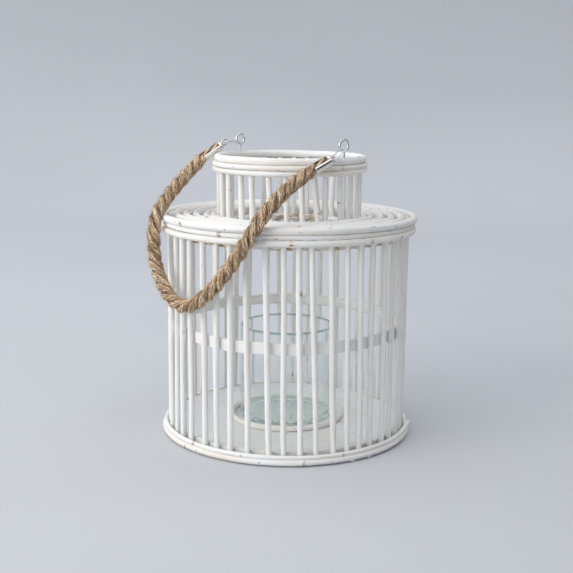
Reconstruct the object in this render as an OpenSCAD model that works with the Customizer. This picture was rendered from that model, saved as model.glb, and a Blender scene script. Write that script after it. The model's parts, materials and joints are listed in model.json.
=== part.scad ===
// Candle lantern: a drum of upright canes on a round board, a stepped neck and a rope bail.
// Origin on the ground under the middle of the base; +Z up; the bail swings about a line along X.

/* [View] */
// which sub-part to draw, or all

/* [Body] */
// radius to the centres of the upright canes
body_cane_ring_r = 116; // [90:0.5:150]
// thickness of an upright cane
cane_d = 5.5; // [4:0.1:7]
// number of upright canes in the body
body_cane_count = 46; // [30:1:60]
// height of the rim hoop's centre above the ground
rim_z = 215.2; // [150:0.1:280]
// thickness of the base board
board_t = 11; // [5:0.5:14]
// height of the flat splint band's middle
band_z = 108; // [60:1:150]
// width of the flat splint band
band_w = 11; // [6:0.5:20]
// thickness of the flat splint band
band_t = 2; // [1:0.1:4]

/* [Shoulder] */
// thickness of the cane used for rim and shoulder hoops
hoop_d = 6.5; // [5:0.1:8]
// centre radius of the outermost loose shoulder hoop
shoulder_outer_r = 109.8; // [90:0.1:120]
// spacing between shoulder hoops
shoulder_pitch = 9.5; // [7.5:0.1:12]
// number of spokes carrying the shoulder hoops
spoke_count = 8; // [4:1:16]

/* [Neck] */
// radius to the centres of the neck canes
neck_cane_ring_r = 68.1; // [50:0.1:90]
// number of canes round the neck
neck_cane_count = 28; // [16:1:40]
// height of the thick neck rim hoop's centre
neck_z = 271.3; // [240:0.1:320]
// thickness of the neck rim hoop
neck_hoop_d = 7.4; // [6:0.1:9]
// thickness of the two thin neck hoops
neck_thin_d = 4.7; // [3:0.1:6]

/* [Glass] */
// outside radius of the candle glass
glass_r = 46.3; // [35:0.1:55]
// height of the candle glass
glass_h = 95.5; // [70:0.5:130]
// wall thickness of the candle glass
glass_wall = 2.6; // [2:0.1:5]
// floor thickness of the candle glass
glass_floor = 5; // [3:0.1:10]
// centre radius of the cane ring the glass stands in
seat_ring_r = 55.2; // [48:0.1:70]
// thickness of that cane ring
seat_ring_d = 5.8; // [4:0.1:7]

/* [Bail] */
// distance from the lantern's middle to each screw eye
eye_x = 71; // [60:0.1:90]
// height of each screw eye's centre
eye_z = 286.3; // [275:0.1:300]
// centre radius of the eye's ring
eye_r = 5.15; // [4:0.05:8]
// wire thickness of the eye
eye_wire = 2; // [1.6:0.1:3]
// wire thickness of the link
link_wire = 1.7; // [1.2:0.1:3]
// length of the link between the middles of its end bends' wires
link_l = 22; // [12:0.5:30]
// distance between the link's two long sides, wire middle to wire middle
link_across = 6.5; // [5:0.1:9]
// thickness of the metal rope end
ferrule_d = 10; // [8:0.1:14]
// length of the metal rope end
ferrule_l = 20; // [12:0.5:30]
// thickness of the twisted rope
rope_d = 12; // [8:0.5:18]

/* [Hidden] */
$fn = 48;
gap = 0.1;
cane_r = cane_d / 2;
hoop_r = hoop_d / 2;
cane_out = body_cane_ring_r + cane_r;
cane_in = body_cane_ring_r - cane_r;
rim_mid_r = 2.3;
// the canes stand this far above the middle of the rim hoop nailed to them
cane_proud = 0.8;
rim_low_r = 3;
rim_mid_z = rim_z - hoop_r - rim_mid_r - gap;
rim_low_z = rim_mid_z - rim_mid_r - rim_low_r - gap;
base_low_r = 2.7;
base_up_r = 2;
// the canes and the lowest hoop stop just short of the ground, which only the board touches
foot_gap = 1.2;
base_low_z = foot_gap + base_low_r;
base_up_z = base_low_z + base_low_r + base_up_r + gap;
spoke_z = rim_z - hoop_r - cane_r - gap;
inner_hoop_r = 3;
inner_hoop_z = spoke_z - cane_r - inner_hoop_r - gap;
// the drum's own inner hoop is nailed a little lower, clear of the spokes
frame_hoop_z = inner_hoop_z - 4;
neck_out = neck_cane_ring_r + cane_r;
neck_in = neck_cane_ring_r - cane_r;
neck_hoop_r = neck_hoop_d / 2;
neck_thin_r = neck_thin_d / 2;
neck_rim_r = 70.4;
// turn of the cane circles, so that a cane or a gap faces where the maker left it
body_turn = 2.7;
neck_turn = -5;
function body_angle(i) = (i + 0.5) * 360 / body_cane_count + body_turn;
function neck_angle(i) = (i + 0.5) * 360 / neck_cane_count + neck_turn;
neck_up_z = neck_z - neck_hoop_r - 1.9;
neck_low_z = neck_up_z - neck_thin_d - gap;
neck_top = neck_z - neck_hoop_r - gap;
// the two hoops nearest the neck are of thinner cane
upper_inner_r = 2.5;
foot_hoop_r = hoop_r - 0.5;
last_hoop_r = hoop_r - 0.35;
// a link's end bend lies in its eye with a little slack
slack = 0.5;
pivot_z = eye_z - eye_r + eye_wire / 2 + link_wire / 2 + slack;
link_w = link_across / 2;
// how far each link drops below level, how far it turns outward, and how far its end bend
// has slid towards the lantern's middle in the eye
drop_left = -2.1;
drop_right = 24.5;
turn_left = -3.4;
turn_right = 14.5;
slide_left = 0;
slide_right = 0.65;

// direction of a link and the point where its far bend ends
function link_dir(side, drop, turn) =
  [side * sin(turn) * cos(drop), -cos(turn) * cos(drop), -sin(drop)];
function link_end(side, drop, turn, slide) =
  [side * (eye_x - slide), 0, pivot_z] + link_l * link_dir(side, drop, turn);

// where the rope leaves each ferrule, and the ferrules' closed ends
rope_left = [-75.8, -42.1, 270.9];
rope_right = [75.4, -43, 267.4];
function unit(v) = v / norm(v);
function step_back(p, q, l) = p + l * unit(q - p);
cap_left = step_back(rope_left, [-70.9, -25.8, 281.4], ferrule_l);
cap_right = step_back(rope_right, [76.2, -24.35, 274.7], ferrule_l);

// the rope's resting line, ferrule to ferrule
route = [
  rope_left, [-76.9, -50.1, 265.5], [-74.1, -63.9, 256.9], [-71.7, -78.3, 246.9],
  [-69.1, -92.4, 236.8], [-64.7, -105.8, 227.3], [-60.4, -115.9, 219], [-58.9, -120, 208.2],
  [-58.9, -121, 196.2], [-57.6, -121.7, 184.2], [-52.5, -123.7, 172.4], [-42.1, -126.9, 161.2],
  [-29.7, -129.8, 151.3], [-16.2, -131.7, 144], [-2.2, -132, 141.6], [10.5, -131, 144.5],
  [22.4, -128.9, 152.5], [33.6, -126.1, 162.9], [44.4, -123.5, 175.5], [53.8, -120.5, 188.3],
  [62.1, -117.1, 201.8], [69.3, -113.3, 214.5], [74.1, -107.1, 227.2], [74.9, -95.2, 238.2],
  [74.7, -79.8, 248.7], [75.3, -63.6, 258.1], [75.2, -51.6, 263.9], rope_right,
];

// --- helpers
module hoop(centre_r, tube_r, z)
  translate([0, 0, z]) rotate_extrude($fn = 96) translate([centre_r, 0]) circle(r = tube_r, $fn = 32);

module from_to(a, b) {
  v = b - a;
  translate(a) rotate([0, acos(v[2] / norm(v)), atan2(v[1], v[0])]) children();
}

// --- base
module base_board() color("white") cylinder(r = cane_in - gap, h = board_t, $fn = 96);

module base_hoop_lower() color("white") hoop(cane_out + base_low_r + gap, base_low_r, base_low_z);

module base_hoop_upper() color("white") hoop(cane_out + base_up_r + gap, base_up_r, base_up_z);

module seat_ring() color("white") hoop(seat_ring_r, seat_ring_d / 2, board_t + seat_ring_d / 2);

// --- body
module body_canes() color("white")
  for (i = [0 : body_cane_count - 1])
    rotate([0, 0, body_angle(i)])
      translate([body_cane_ring_r, 0, foot_gap]) cylinder(r = cane_r, h = rim_z + cane_proud - foot_gap);

module mid_band() color("white")
  translate([0, 0, band_z - band_w / 2])
    difference() {
      cylinder(r = cane_in - gap, h = band_w, $fn = 96);
      translate([0, 0, -1]) cylinder(r = cane_in - gap - band_t, h = band_w + 2, $fn = 96);
    }

module rim_hoop_top() color("white") hoop(cane_out + hoop_r + gap, hoop_r, rim_z);

module rim_hoop_middle() color("white") hoop(cane_out + rim_mid_r + gap, rim_mid_r, rim_mid_z);

module rim_hoop_bottom() color("white") hoop(cane_out + rim_low_r + gap, rim_low_r, rim_low_z);

module frame_hoop() color("tan") hoop(cane_in - inner_hoop_r - gap, inner_hoop_r, frame_hoop_z);

// --- shoulder
module shoulder_spokes() color("white")
  for (i = [0 : spoke_count - 1])
    rotate([0, 0, (i + 0.5) * 360 / spoke_count])
      translate([neck_out + gap, 0, spoke_z]) rotate([0, 90, 0])
        cylinder(r = cane_r, h = cane_in - gap - neck_out - gap);

module shoulder_hoop_1() color("white") hoop(shoulder_outer_r, hoop_r, rim_z);

module shoulder_hoop_2() color("white") hoop(shoulder_outer_r - shoulder_pitch, hoop_r, rim_z);

module shoulder_hoop_3() color("white") hoop(shoulder_outer_r - 2 * shoulder_pitch, hoop_r, rim_z);

module shoulder_hoop_4() color("white")
  hoop(shoulder_outer_r - 3 * shoulder_pitch, last_hoop_r, spoke_z + cane_r + last_hoop_r + gap);

// --- neck
module neck_foot_hoop() color("white")
  hoop(neck_out + foot_hoop_r + 3 * gap, foot_hoop_r, spoke_z + cane_r + foot_hoop_r + gap);

module neck_canes() color("white")
  for (i = [0 : neck_cane_count - 1])
    rotate([0, 0, neck_angle(i)])
      translate([neck_cane_ring_r, 0, inner_hoop_z]) cylinder(r = cane_r, h = neck_top - inner_hoop_z);

module neck_inner_hoops() color("tan") {
  hoop(neck_in - inner_hoop_r - gap, inner_hoop_r, inner_hoop_z + inner_hoop_r);
  hoop(neck_in - upper_inner_r - gap, upper_inner_r, neck_low_z + 1);
}

module neck_rim_hoop() color("white") hoop(neck_rim_r, neck_hoop_r, neck_z);

module neck_hoop_upper() color("white") hoop(neck_out + neck_thin_r + gap, neck_thin_r, neck_up_z);

module neck_hoop_lower() color("white") hoop(neck_out + neck_thin_r + gap, neck_thin_r, neck_low_z);

// --- brads: steel pins from inside the canes out to the skin of the hoops
brad_r = 0.6;

module rim_brads() color("silver")
  for (i = [0 : 4 : body_cane_count - 1])
    rotate([0, 0, body_angle(i)])
      translate([cane_in + 1, 0, rim_z - 0.4]) rotate([0, 90, 0])
        cylinder(r = brad_r, h = cane_d + hoop_d - 0.9);

module base_brads() color("silver")
  for (i = [2 : 4 : body_cane_count - 1])
    rotate([0, 0, body_angle(i)])
      translate([cane_in - 6, 0, base_low_z]) rotate([0, 90, 0])
        cylinder(r = brad_r, h = cane_d + 2 * base_low_r + 6.15);

module neck_brads() color("silver")
  for (i = [1 : 4 : neck_cane_count - 1])
    rotate([0, 0, neck_angle(i)])
      translate([neck_in + 1, 0, neck_up_z]) rotate([0, 90, 0])
        cylinder(r = brad_r, h = cane_d + neck_thin_d - 0.85);

module shoulder_brads() color("silver")
  for (i = [0 : spoke_count - 1], k = [0 : 2])
    rotate([0, 0, (i + 0.5) * 360 / spoke_count])
      translate([shoulder_outer_r - k * shoulder_pitch, 0, spoke_z])
        cylinder(r = brad_r, h = rim_z + hoop_r - spoke_z + 0.1);

// --- glass: its foot, lip and inner corner are eased
glass_foot = 2;
glass_lip = 0.8;
glass_bowl = 3;

module glass_cylinder() color("lightcyan", 0.5)
  translate([0, 0, board_t]) rotate_extrude($fn = 96)
    polygon([
      [0, 0], [glass_r - glass_foot, 0], [glass_r, glass_foot],
      [glass_r, glass_h - glass_lip], [glass_r - glass_lip, glass_h],
      [glass_r - glass_wall + glass_lip, glass_h], [glass_r - glass_wall, glass_h - glass_lip],
      [glass_r - glass_wall, glass_floor + glass_bowl], [glass_r - glass_wall - glass_bowl, glass_floor],
      [0, glass_floor],
    ]);

// --- screw eyes: a ring in the YZ plane on a shank driven down into the neck rim hoop
shank_r = 1.2;
shank_depth = 2;

module screw_eye(side) color("silver") translate([side * eye_x, 0, 0]) {
  translate([0, 0, eye_z]) rotate([0, 90, 0])
    rotate_extrude() translate([eye_r, 0]) circle(r = eye_wire / 2, $fn = 24);
  translate([0, 0, neck_z - shank_depth])
    cylinder(r = shank_r, h = eye_z - eye_r - neck_z + shank_depth);
}

module screw_eye_left() screw_eye(-1);

module screw_eye_right() screw_eye(1);

// --- links: a long wire loop through each eye
module link(side, drop, turn, slide) color("silver")
  translate([side * (eye_x - slide), 0, pivot_z]) rotate([drop, 0, side * turn])
    translate([0, -link_w, 0]) {
      rotate_extrude(angle = 180) translate([link_w, 0]) circle(r = link_wire / 2, $fn = 24);
      translate([0, -(link_l - 2 * link_w), 0]) rotate([0, 0, 180])
        rotate_extrude(angle = 180) translate([link_w, 0]) circle(r = link_wire / 2, $fn = 24);
      for (s = [-1, 1])
        translate([s * link_w, 0, 0]) rotate([90, 0, 0])
          cylinder(r = link_wire / 2, h = link_l - 2 * link_w, $fn = 24);
    }

module link_left() link(-1, drop_left, turn_left, slide_left);

module link_right() link(1, drop_right, turn_right, slide_right);

// --- ferrules: a domed metal cup on the rope's end, with a small staple that holds the link
staple_r = 2.6;

module ferrule(cap, mouth, tip) color("silver") {
  from_to(cap, mouth) rotate_extrude() polygon([
    [0, 0], [ferrule_d / 2 - 1.6, 0], [ferrule_d / 2 - 0.5, 0.5], [ferrule_d / 2 - 0.1, 1.6],
    [ferrule_d / 2 - 0.1, ferrule_l - 1.8], [ferrule_d / 2 + 0.3, ferrule_l - 1.2],
    [ferrule_d / 2 + 0.3, ferrule_l - 0.4], [ferrule_d / 2 - 0.1, ferrule_l], [0, ferrule_l],
  ]);
  v = unit(cap - tip);
  ring = tip + 0.9 * v;
  tail_foot = ring + (staple_r - 0.3) * v;
  tail_end = cap + 0.6 * unit(mouth - cap);
  translate(ring) rotate([0, 90, 0]) rotate_extrude() translate([staple_r, 0]) circle(r = 0.7, $fn = 20);
  from_to(tail_foot, tail_end) cylinder(r = 0.9, h = norm(tail_end - tail_foot));
}

module ferrule_left()
  ferrule(cap_left, rope_left, link_end(-1, drop_left, turn_left, slide_left));

module ferrule_right()
  ferrule(cap_right, rope_right, link_end(1, drop_right, turn_right, slide_right));

// --- rope: one ten-sided tube along the resting line
sides = 10;
sub = 2;
n_seg = len(route) - 1;
function at(i) = route[max(0, min(n_seg, i))];
function spline(i, t) =
  let (a = at(i - 1), b = at(i), c = at(i + 1), d = at(i + 2))
  0.5 * (2 * b + (c - a) * t + (2 * a - 5 * b + 4 * c - d) * t * t + (3 * b - a - 3 * c + d) * t * t * t);
line = concat([for (i = [0 : n_seg - 1], s = [0 : sub - 1]) spline(i, s / sub)], [route[n_seg]]);
last = len(line) - 1;
flat_up = unit([0, 0.42, -0.9]);
function heading(i) = unit(line[min(last, i + 1)] - line[max(0, i - 1)]);
function thick(i) = let (e = min(i, last - i)) rope_d / 2 * (e == 0 ? 0.74 : e == 1 ? 0.95 : 1);
rope_pts = [
  for (i = [0 : last])
    let (t = i == 0 ? unit(rope_left - cap_left) : i == last ? unit(cap_right - rope_right) : heading(i),
         u = unit(cross(t, flat_up)), w = cross(t, u))
    for (k = [0 : sides - 1]) line[i] + thick(i) * (cos(k * 360 / sides) * u + sin(k * 360 / sides) * w)
];
rope_faces = concat(
  [[for (k = [0 : sides - 1]) k]],
  [[for (k = [sides - 1 : -1 : 0]) last * sides + k]],
  [for (i = [0 : last - 1], k = [0 : sides - 1])
    [i * sides + k, (i + 1) * sides + k, (i + 1) * sides + (k + 1) % sides, i * sides + (k + 1) % sides]]
);

module handle_rope() color("tan") polyhedron(points = rope_pts, faces = rope_faces, convexity = 6);

base_board();
base_hoop_lower();
base_hoop_upper();
seat_ring();
body_canes();
mid_band();
rim_hoop_top();
rim_hoop_middle();
rim_hoop_bottom();
frame_hoop();
shoulder_spokes();
shoulder_hoop_1();
shoulder_hoop_2();
shoulder_hoop_3();
shoulder_hoop_4();
neck_foot_hoop();
neck_canes();
neck_inner_hoops();
neck_rim_hoop();
neck_hoop_upper();
neck_hoop_lower();
rim_brads();
base_brads();
neck_brads();
shoulder_brads();
glass_cylinder();
screw_eye_left();
screw_eye_right();
link_left();
link_right();
ferrule_left();
ferrule_right();
handle_rope();
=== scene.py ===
import json
import math

import bpy
import numpy as np
from mathutils import Matrix, Vector


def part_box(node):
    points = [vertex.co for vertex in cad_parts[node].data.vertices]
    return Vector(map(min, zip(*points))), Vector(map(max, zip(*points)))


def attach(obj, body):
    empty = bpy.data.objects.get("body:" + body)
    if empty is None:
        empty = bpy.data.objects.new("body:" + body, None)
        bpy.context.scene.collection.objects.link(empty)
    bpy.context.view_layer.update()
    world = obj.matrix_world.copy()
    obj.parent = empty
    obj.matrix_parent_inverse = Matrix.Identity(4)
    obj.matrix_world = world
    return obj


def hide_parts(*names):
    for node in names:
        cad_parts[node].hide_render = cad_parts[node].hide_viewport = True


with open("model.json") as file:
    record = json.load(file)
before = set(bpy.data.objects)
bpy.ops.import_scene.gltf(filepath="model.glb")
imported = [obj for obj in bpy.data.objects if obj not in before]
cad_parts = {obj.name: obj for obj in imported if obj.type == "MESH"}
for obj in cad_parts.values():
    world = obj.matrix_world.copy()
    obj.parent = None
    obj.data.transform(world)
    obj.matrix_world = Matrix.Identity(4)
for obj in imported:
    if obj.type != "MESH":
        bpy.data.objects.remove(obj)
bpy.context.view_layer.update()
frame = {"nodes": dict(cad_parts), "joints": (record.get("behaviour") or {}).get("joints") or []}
scene = bpy.context.scene
scene.view_settings.view_transform = "Standard"
rng = np.random.default_rng(7)

# --- Camera -------------------------------------------------------------------------------
# A short telephoto about a metre away, a little above the lantern and turned 45 degrees to
# the line through its two screw eyes. It is tipped over by less than a degree.
CAMERA_TURN = math.radians(45)
CAMERA_DIP = 0.1884
CAMERA_TILT = 0.0135
CAMERA_BACK = 0.9989
CAMERA_UP = 0.3340
CAMERA_LENS = 64.07

RIGHT = Vector((math.cos(CAMERA_TURN), math.sin(CAMERA_TURN), 0))
AWAY = Vector((-math.sin(CAMERA_TURN), math.cos(CAMERA_TURN), 0))
UP = Vector((0, 0, 1))


def as_seen(right, away, up):
    """A place as the camera sees it: to the right, further away and up, from the lantern's middle."""
    return right * RIGHT + away * AWAY + up * UP


ahead = math.cos(CAMERA_DIP) * AWAY - math.sin(CAMERA_DIP) * UP
upright = RIGHT.cross(ahead)
camera_x = math.cos(CAMERA_TILT) * RIGHT + math.sin(CAMERA_TILT) * upright
camera_y = math.cos(CAMERA_TILT) * upright - math.sin(CAMERA_TILT) * RIGHT

camera_data = bpy.data.cameras.new("camera")
camera_data.lens = CAMERA_LENS
camera_data.sensor_width = 36
camera = bpy.data.objects.new("camera", camera_data)
camera.matrix_world = Matrix.Translation(as_seen(-0.0011, -CAMERA_BACK, CAMERA_UP)) @ Matrix(
    (camera_x, camera_y, -ahead)
).transposed().to_4x4()
scene.collection.objects.link(camera)
scene.camera = camera

# --- Rope handle --------------------------------------------------------------------------
# Three strands of hairy jute laid up left-handed, about as thick as a finger. Each end is
# squeezed into a metal clamp that reaches a little way over it, and the rope hangs between them.
ROPE_D = 0.012
ROPE_LAY = 0.040
STRAND_OFFSET = 0.0030
STRAND_R = 0.0032
YARNS = 7
YARN_LAY = 0.046
ROPE_STEP = 0.0008
BEDDED = 0.00004
END_SQUEEZE = 0.64
CLAMP_L = 0.020
CLAMP_OVER = 0.004
END_TAPER = 0.0035

MOUTH_LEFT = Vector((-0.0758, -0.0421, 0.2709))
MOUTH_RIGHT = Vector((0.0754, -0.0430, 0.2674))
ROUTE = [
    MOUTH_LEFT, (-0.0769, -0.0501, 0.2655), (-0.0741, -0.0639, 0.2569), (-0.0717, -0.0783, 0.2469),
    (-0.0691, -0.0924, 0.2368), (-0.0647, -0.1058, 0.2273), (-0.0604, -0.1159, 0.2190),
    (-0.0589, -0.1200, 0.2082), (-0.0589, -0.1210, 0.1962), (-0.0576, -0.1217, 0.1842),
    (-0.0525, -0.1237, 0.1724), (-0.0421, -0.1269, 0.1612), (-0.0297, -0.1298, 0.1513),
    (-0.0162, -0.1317, 0.1440), (-0.0022, -0.1320, 0.1416), (0.0105, -0.1310, 0.1445),
    (0.0224, -0.1289, 0.1525), (0.0336, -0.1261, 0.1629), (0.0444, -0.1235, 0.1755),
    (0.0538, -0.1205, 0.1883), (0.0621, -0.1171, 0.2018), (0.0693, -0.1133, 0.2145),
    (0.0741, -0.1071, 0.2272), (0.0749, -0.0952, 0.2382), (0.0747, -0.0798, 0.2487),
    (0.0753, -0.0636, 0.2581), (0.0752, -0.0516, 0.2639), MOUTH_RIGHT,
]

# each wire link hangs from its eye: how far it drops below level, how far it turns outward, and
# how far its bend has slid towards the lantern's middle in the eye
PIVOT_Z = frame["joints"][0]["pos_m"][2]
EYE_X = 0.071
LINK_L = 0.022
LINKS = {
    "left": (-1, math.radians(-2.1), math.radians(-3.4), 0.0),
    "right": (1, math.radians(24.5), math.radians(14.5), 0.00065),
}


def link_matrix(which):
    """Carries a link drawn along -Y from the origin to its place in its screw eye."""
    side, drop, turn, slid = LINKS[which]
    swing = Matrix.Rotation(side * turn, 4, "Z") @ Matrix.Rotation(drop, 4, "X")
    return Matrix.Translation((side * (EYE_X - slid), 0, PIVOT_Z)) @ swing


link_tips = {which: link_matrix(which) @ Vector((0, -LINK_L, 0)) for which in LINKS}

# each clamp lies in line with the rope's end, towards a point a little short of its link
clamp_axis = {
    "left": (MOUTH_LEFT - Vector((-0.0709, -0.0258, 0.2814))).normalized(),
    "right": (MOUTH_RIGHT - Vector((0.0762, -0.02435, 0.2747))).normalized(),
}


def smooth_line(points, spacing):
    """Evenly spaced points along a smooth curve through the given ones."""
    p = np.array([tuple(q) for q in points], float)
    last = len(p) - 1
    line = []
    for i in range(last):
        a, b, c, d = (p[min(max(i + k, 0), last)] for k in (-1, 0, 1, 2))
        for t in np.linspace(0, 1, 16, endpoint=False):
            line.append(0.5 * (2 * b + (c - a) * t + (2 * a - 5 * b + 4 * c - d) * t**2
                               + (3 * b - a - 3 * c + d) * t**3))
    line.append(p[-1])
    line = np.array(line)
    run = np.concatenate([[0], np.cumsum(np.linalg.norm(np.diff(line, axis=0), axis=1))])
    count = max(3, round(run[-1] / spacing) + 1)
    even = np.linspace(0, run[-1], count)
    return np.stack([np.interp(even, run, line[:, k]) for k in range(3)], 1)


def frames_along(line, closed=False):
    """Distance run, heading, and two directions square to it that don't spin, at each point."""
    if closed:
        heading = np.roll(line, -1, 0) - np.roll(line, 1, 0)
    else:
        heading = np.gradient(line, axis=0)
    heading /= np.linalg.norm(heading, axis=1)[:, None]
    first = np.array((0, 0, 1.0)) if abs(heading[0, 2]) < 0.8 else np.array((1.0, 0, 0))
    side = np.empty_like(heading)
    for i, h in enumerate(heading):
        v = first - h * (first @ h)
        first = side[i] = v / np.linalg.norm(v)
    run = np.concatenate([[0], np.cumsum(np.linalg.norm(np.diff(line, axis=0), axis=1))])
    return run, heading, side, np.cross(heading, side)


def ring_of(turn, side, over):
    """Unit steps out from a line's points at each angle between two directions square to it."""
    return np.cos(turn)[None, :, None] * side[:, None] + np.sin(turn)[None, :, None] * over[:, None]


def grid_faces(rows, columns, closed=False, first=0):
    """Quads between neighbouring rings of a tube, numbered from first."""
    rings = rows if closed else rows - 1
    i, k = np.meshgrid(np.arange(rings), np.arange(columns), indexing="ij")
    j, m = (i + 1) % rows, (k + 1) % columns
    quads = np.stack([i * columns + k, i * columns + m, j * columns + m, j * columns + k], -1)
    return (quads.reshape(-1, 4) + first).tolist()


def capped_faces(rows, columns):
    """The faces of an open tube and the two that close its ends."""
    ends = [list(range(columns))[::-1], list(range((rows - 1) * columns, rows * columns))]
    return [*grid_faces(rows, columns), *ends]


def tube(line, radii, sides=14, closed=False, grain_from=0.0, knots=(), ends=0.72):
    """A tube round a line. Returns its points, faces, the run of its grain and its knot marks."""
    run, _, side, over = frames_along(line, closed)
    n = len(line)
    if np.ndim(radii) < 2:
        radii = np.asarray(radii, float).reshape(-1, 1)
    radii = np.broadcast_to(radii, (n, sides))
    mark = np.zeros(n)
    for knot in knots:
        mark = np.maximum(mark, np.exp(-(((run - knot) / 0.0022) ** 2)))
    radii = radii * (1 + 0.05 * mark[:, None])
    if ends < 1 and not closed:
        rounding = np.ones(n)
        rounding[[0, -1]] = ends
        rounding[[1, -2]] = (2 + ends) / 3
        radii = radii * rounding[:, None]
    turn = np.linspace(0, 2 * math.pi, sides, endpoint=False)
    across = ring_of(turn, side, over)
    points = (line[:, None] + radii[..., None] * across).reshape(-1, 3)
    grain = np.stack([
        np.broadcast_to(run[:, None] + grain_from, (n, sides)),
        radii * np.cos(turn) + grain_from,
        radii * np.sin(turn),
    ], -1).reshape(-1, 3)
    faces = grid_faces(n, sides, closed) if closed else capped_faces(n, sides)
    return points, faces, grain, np.repeat(mark, sides)


def piece(name, parts, material, body, nodes=()):
    """One mesh object from a list of (points, faces, grain, mark) parts, riding a body."""
    points, faces, grain, mark, first = [], [], [], [], 0
    for part_points, part_faces, part_grain, part_mark in parts:
        faces += [[v + first for v in face] for face in part_faces]
        first += len(part_points)
        points.append(part_points)
        grain.append(part_grain)
        mark.append(part_mark)
    name = name.replace(" ", "_")
    mesh = bpy.data.meshes.new(name)
    mesh.from_pydata(np.concatenate(points).tolist(), [], faces)
    run_of_grain = mesh.attributes.new("grain", "FLOAT_VECTOR", "POINT")
    run_of_grain.data.foreach_set("vector", np.concatenate(grain).ravel())
    marks = mesh.attributes.new("mark", "FLOAT", "POINT")
    marks.data.foreach_set("value", np.concatenate(mark))
    mesh.shade_smooth()
    mesh.materials.append(material)
    made = bpy.data.objects.new(name, mesh)
    scene.collection.objects.link(made)
    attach(made, body)
    if nodes:
        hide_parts(*nodes)
    return made


def new_material(name, **values):
    """A material with one Principled shader, its plain sockets set, and its nodes and links."""
    material = bpy.data.materials.new(name)
    material.use_nodes = True
    nodes, links = material.node_tree.nodes, material.node_tree.links
    shader = nodes["Principled BSDF"]
    for socket, value in values.items():
        shader.inputs[socket.replace("_", " ")].default_value = value
    return material, nodes, links, shader


def attribute(nodes, name):
    node = nodes.new("ShaderNodeAttribute")
    node.attribute_name = name
    return node


def stretched_noise(nodes, links, vector, scale, detail=3.0, rough=0.55):
    """Noise on a vector that is first scaled by three numbers, in cycles per metre."""
    mapping = nodes.new("ShaderNodeMapping")
    mapping.inputs["Scale"].default_value = scale
    noise = nodes.new("ShaderNodeTexNoise")
    noise.inputs["Scale"].default_value = 1.0
    noise.inputs["Detail"].default_value = detail
    noise.inputs["Roughness"].default_value = rough
    links.new(vector, mapping.inputs["Vector"])
    links.new(mapping.outputs["Vector"], noise.inputs["Vector"])
    return noise.outputs["Fac"]


def ramp(nodes, links, value, stops):
    """A colour ramp through (position, colour) stops."""
    node = nodes.new("ShaderNodeValToRGB")
    while len(node.color_ramp.elements) < len(stops):
        node.color_ramp.elements.new(0.5)
    for element, (position, colour) in zip(node.color_ramp.elements, stops):
        element.position = position
        element.color = (*colour, 1)
    links.new(value, node.inputs["Fac"])
    return node.outputs["Color"]


def feed(links, socket, value):
    """Links a socket from another, or sets it to a number or colour. None leaves it as it is."""
    if isinstance(value, bpy.types.NodeSocket):
        links.new(value, socket)
    elif value is not None:
        socket.default_value = value


def reckon(nodes, links, operation, *values):
    """A sum on numbers and sockets."""
    node = nodes.new("ShaderNodeMath")
    node.operation = operation
    for socket, value in zip(node.inputs, values):
        feed(links, socket, value)
    return node.outputs[0]


def combine(nodes, links, kind, a, b, factor=None):
    """Mixes two colours by a blend kind, with a factor that is a number or a socket."""
    node = nodes.new("ShaderNodeMix")
    node.data_type = "RGBA"
    node.blend_type = kind
    for socket, value in ((0, factor), (6, a), (7, b)):
        feed(links, node.inputs[socket], value)
    return node.outputs[2]


def bump(nodes, links, height, shader, distance, strength=1.0):
    node = nodes.new("ShaderNodeBump")
    node.inputs["Distance"].default_value = distance
    node.inputs["Strength"].default_value = strength
    links.new(height, node.inputs["Height"])
    links.new(node.outputs["Normal"], shader.inputs["Normal"])


def node_group(name, taken, given_out):
    """An empty shader node group with its sockets, and its nodes, links, input and output."""
    group = bpy.data.node_groups.new(name, "ShaderNodeTree")
    for in_out, sockets in (("INPUT", taken), ("OUTPUT", given_out)):
        for socket, kind in sockets.items():
            group.interface.new_socket(socket, in_out=in_out, socket_type="NodeSocket" + kind)
    nodes = group.nodes
    return group, nodes, group.links, nodes.new("NodeGroupInput"), nodes.new("NodeGroupOutput")


def jute_group():
    """Loose jute fibre: straw colours that run along the yarn, with painted shade in the creases and
    darker fibres where the mark says.
    """
    group, nodes, links, given, result = node_group(
        "jute fibre", {"Grain": "Vector", "Crease shade and dark fibres": "Float"}, {"Color": "Color", "Height": "Float"})
    fibre = stretched_noise(nodes, links, given.outputs["Grain"], (120, 2400, 2400), 4, 0.6)
    patch = stretched_noise(nodes, links, given.outputs["Grain"], (60, 260, 260), 3)
    straw = ramp(nodes, links, fibre, [
        (0.37, (0.20, 0.105, 0.055)), (0.45, (0.70, 0.47, 0.30)),
        (0.51, (0.94, 0.73, 0.51)), (0.60, (1.0, 0.92, 0.75)),
    ])
    shade = ramp(nodes, links, patch, [(0.38, (0.36, 0.29, 0.22)), (0.56, (1.12, 1.07, 1.00))])
    toned = combine(nodes, links, "MULTIPLY", straw, shade, 1.0)
    # painted shade: the mark darkens the colour to near black in the creases between strands and yarns,
    # and on bedded fibres it makes some fibres darker
    dark = combine(nodes, links, "MIX", toned, (0.075, 0.038, 0.018, 1), given.outputs["Crease shade and dark fibres"])
    links.new(dark, result.inputs["Color"])
    links.new(fibre, result.inputs["Height"])
    return group


def jute_material(name, group, **values):
    material, nodes, links, shader = new_material(name, Roughness=0.88, **values)
    fibre = nodes.new("ShaderNodeGroup")
    fibre.node_tree = group
    links.new(attribute(nodes, "grain").outputs["Vector"], fibre.inputs["Grain"])
    links.new(attribute(nodes, "mark").outputs["Fac"], fibre.inputs["Crease shade and dark fibres"])
    links.new(fibre.outputs["Color"], shader.inputs["Base Color"])
    bump(nodes, links, fibre.outputs["Height"], shader, 0.0006, 0.9)
    return material


jute = jute_group()
rope_material = jute_material("twisted jute", jute, Sheen_Weight=0.08, Sheen_Roughness=0.6)
fibre_material = jute_material("loose jute fibres", jute)

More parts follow.
